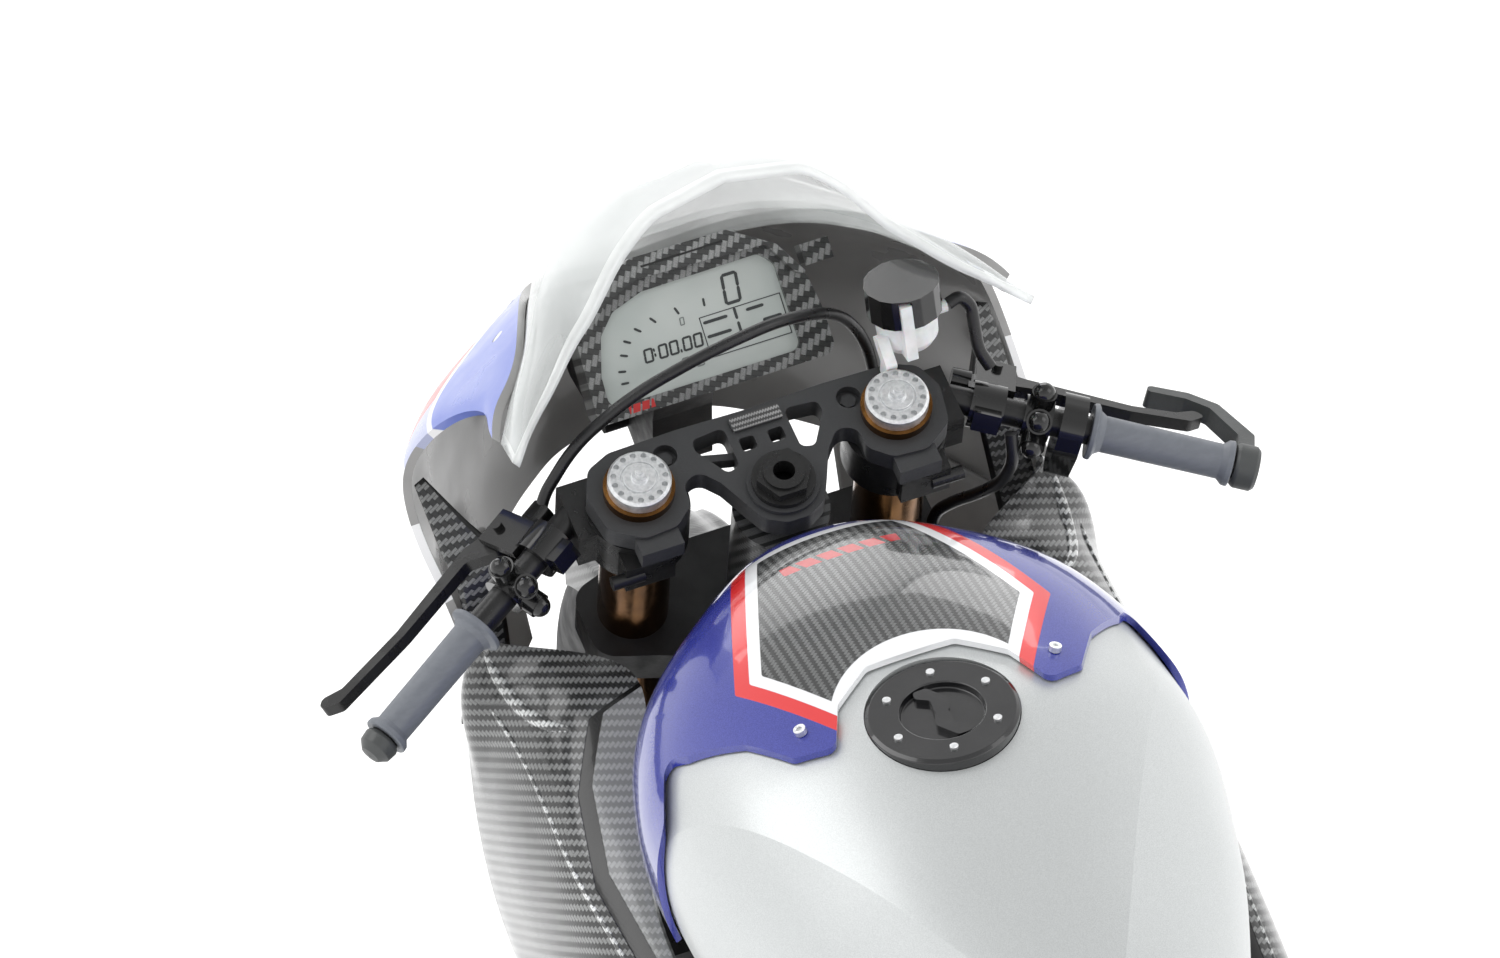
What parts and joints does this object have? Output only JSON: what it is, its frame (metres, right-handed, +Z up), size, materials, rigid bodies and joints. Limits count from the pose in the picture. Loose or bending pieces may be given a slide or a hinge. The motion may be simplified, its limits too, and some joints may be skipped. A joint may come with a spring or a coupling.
{
  "type": "radio-controlled motorcycle",
  "caption": "Radio-controlled racing motorcycle with steered sprung fork, sprung swingarm, spinning wheels, fairing, tank cover, windscreen and working levers.",
  "frame": {"origin": "on the ground, midway along the machine's length, on its mid-plane", "axes": "+Y forward, +X the rider's right, +Z up"},
  "size_m": [0.1508, 0.414, 0.2335],
  "materials": {
    "bar_end_black": "satin",
    "battery_wrap": "shrink wrap",
    "belly_carbon": "gloss woven pattern",
    "lever_black": "satin",
    "cable_black": "satin",
    "chain_steel": "oiled",
    "bar_satin": "satin",
    "case_grey": "matt",
    "bar_black": "satin",
    "display": "printed display",
    "dash_carbon": "gloss woven pattern",
    "stay_black": "matt",
    "motor_can": "anodised",
    "electronics_black": "matt",
    "exhaust_metal": "brushed",
    "reservoir_white": "translucent white",
    "footrest_black": "anodised",
    "cap_alloy": "cast",
    "leg_black": "anodised",
    "fork_gold": "anodised copper gold",
    "knee_carbon": "gloss woven pattern",
    "axle_steel": "ground",
    "disc_steel": "brushed",
    "caliper_black": "satin",
    "fender_white": "gloss, painted",
    "rim_black": "satin black",
    "sprocket_steel": "ground",
    "tyre_rubber": "slick",
    "cap_black": "gloss",
    "tank_silver": "satin silver",
    "control_black": "satin",
    "grip_grey": "matt grey",
    "lower_clamp_black": "matt",
    "frame_alloy": "satin anodised",
    "radiator_black": "matt",
    "sprocket_alloy": "anodised",
    "lid_black": "satin",
    "seat_foam": "foam",
    "horn_plastic": "moulded",
    "shock_alloy": "anodised",
    "rod_steel": "ground",
    "spring_steel": "painted",
    "side_carbon": "gloss woven pattern",
    "link_black": "moulded",
    "servo_black": "matt",
    "nut_black": "satin",
    "subframe_black": "matt",
    "swingarm_alloy": "satin",
    "tail_white": "gloss, painted",
    "cover_blue": "gloss metallic blue",
    "screw_silver": "plated",
    "clamp_black": "matt",
    "fairing_white": "gloss, painted",
    "clear_screen": "clear"
  },
  "bodies": {
    "chassis": {"main_frame": "frame_alloy", "subframe": "subframe_black", "crankcase": "case_grey", "drive_motor": "motor_can", "battery_pack": "battery_wrap", "electronics": "electronics_black", "steering_servo": "servo_black", "radiator": "radiator_black", "fuel_tank_cover": "tank_silver", "tank_front_cover": "cover_blue", "fuel_cap": "cap_black", "trim_screws": "screw_silver", "windscreen": "clear_screen", "upper_fairing": "fairing_white", "side_fairings": "side_carbon", "belly_pan": "belly_carbon", "frame_covers": "knee_carbon", "dash_housing": "dash_carbon", "dash_display": "display", "dash_stay": "stay_black", "seat_pad": "seat_foam", "tail_cowl": "tail_white", "exhaust": "exhaust_metal", "footrests": "footrest_black", "crash_bar": "bar_black"},
    "steering": {"upper_clamp": "clamp_black", "lower_clamp": "lower_clamp_black", "stem_nut": "nut_black", "fork_outer_tubes": "fork_gold", "fork_caps": "cap_alloy", "clip_on_bars": "bar_satin", "left_grip": "grip_grey", "bar_ends": "bar_end_black", "handlebar_controls": "control_black", "fluid_reservoir": "reservoir_white", "reservoir_cap": "lid_black", "cable_and_hoses": "cable_black"},
    "fork_lower": {"fork_legs": "leg_black", "front_axle": "axle_steel", "front_calipers": "caliper_black", "front_fender": "fender_white"},
    "front_wheel": {"front_tyre": "tyre_rubber", "front_rim": "rim_black", "front_brake_discs": "disc_steel"},
    "throttle": {"throttle_grip": "grip_grey"},
    "brake_lever": {"brake_lever": "lever_black"},
    "clutch_lever": {"clutch_lever": "lever_black"},
    "swingarm": {"swingarm": "swingarm_alloy", "rear_axle": "axle_steel", "chain": "chain_steel"},
    "rear_wheel": {"rear_tyre": "tyre_rubber", "rear_rim": "rim_black", "rear_brake_disc": "disc_steel", "rear_sprocket": "sprocket_alloy"},
    "drive_sprocket": {"front_sprocket": "sprocket_steel"},
    "shock_body": {"shock_body": "shock_alloy", "shock_spring": "spring_steel"},
    "shock_rod": {"shock_rod": "rod_steel"},
    "servo_horn": {"servo_horn": "horn_plastic"},
    "steering_link": {"steering_link": "link_black"}
  },
  "joints": [
    {"name": "steering_turn", "type": "hinge", "parent": "chassis", "child": "steering", "pos_m": [0, 0.1674, 0], "axis": [0, -0.4147, 0.91], "range_deg": [-10, 10]},
    {"name": "fork_travel", "type": "slide", "parent": "steering", "child": "fork_lower", "axis": [0, -0.4147, 0.91], "range_m": [-0.004, 0.012], "stiffness_N_per_m": 1500, "springref_m": -0.004},
    {"name": "front_wheel_spin", "type": "hinge", "parent": "fork_lower", "child": "front_wheel", "pos_m": [0, 0.147, 0.06], "axis": [1, 0, 0], "continuous": true},
    {"name": "throttle_twist", "type": "hinge", "parent": "steering", "child": "throttle", "pos_m": [0.03, 0.0964, 0.17919], "axis": [0.8528, -0.3927, -0.3442], "range_deg": [0, 55], "stiffness_Nm_per_rad": 0.01, "springref_deg": -17.19},
    {"name": "brake_squeeze", "type": "hinge", "parent": "steering", "child": "brake_lever", "pos_m": [0.04005, 0.10072, 0.17535], "axis": [0.3652, -0.0225, 0.9307], "range_deg": [-6, 0], "stiffness_Nm_per_rad": 0.02, "springref_deg": 11.46},
    {"name": "clutch_squeeze", "type": "hinge", "parent": "steering", "child": "clutch_lever", "pos_m": [-0.04005, 0.10072, 0.17535], "axis": [0.3652, 0.0225, -0.9307], "range_deg": [-11, 0], "stiffness_Nm_per_rad": 0.02, "springref_deg": 11.46},
    {"name": "swingarm_travel", "type": "hinge", "parent": "chassis", "child": "swingarm", "pos_m": [0, -0.025, 0.08], "axis": [1, 0, 0], "range_deg": [-4, 4], "stiffness_Nm_per_rad": 8, "springref_deg": 5.01},
    {"name": "rear_wheel_spin", "type": "hinge", "parent": "swingarm", "child": "rear_wheel", "pos_m": [0, -0.141, 0.066], "axis": [1, 0, 0], "continuous": true},
    {"name": "drive_spin", "type": "hinge", "parent": "chassis", "child": "drive_sprocket", "pos_m": [0, -0.025, 0.08], "axis": [1, 0, 0], "continuous": true},
    {"name": "shock_swing", "type": "hinge", "parent": "chassis", "child": "shock_body", "pos_m": [0, -0.047, 0.116], "axis": [1, 0, 0], "range_deg": [-1, 1]},
    {"name": "shock_travel", "type": "slide", "parent": "shock_body", "child": "shock_rod", "axis": [0, 0, 1], "range_m": [-0.002, 0.002], "deforming": ["shock_spring"]},
    {"name": "servo_turn", "type": "hinge", "parent": "chassis", "child": "servo_horn", "pos_m": [0, 0.12736, -0.01825], "axis": [0, -0.4147, 0.91], "range_deg": [-10, 10]},
    {"name": "link_turn", "type": "hinge", "parent": "servo_horn", "child": "steering_link", "pos_m": [0.014, 0.12736, -0.01825], "axis": [0, -0.4147, 0.91], "range_deg": [-10, 10]}
  ],
  "couplings": [
    {"joint": "servo_turn", "follows": "steering_turn", "ratio": 1},
    {"joint": "link_turn", "follows": "steering_turn", "ratio": -1},
    {"joint": "shock_swing", "follows": "swingarm_travel", "ratio": 0.1325},
    {"joint": "shock_travel", "follows": "swingarm_travel", "m_per_rad": -0.022},
    {"joint": "drive_spin", "follows": "rear_wheel_spin", "ratio": 2.3077}
  ]
}
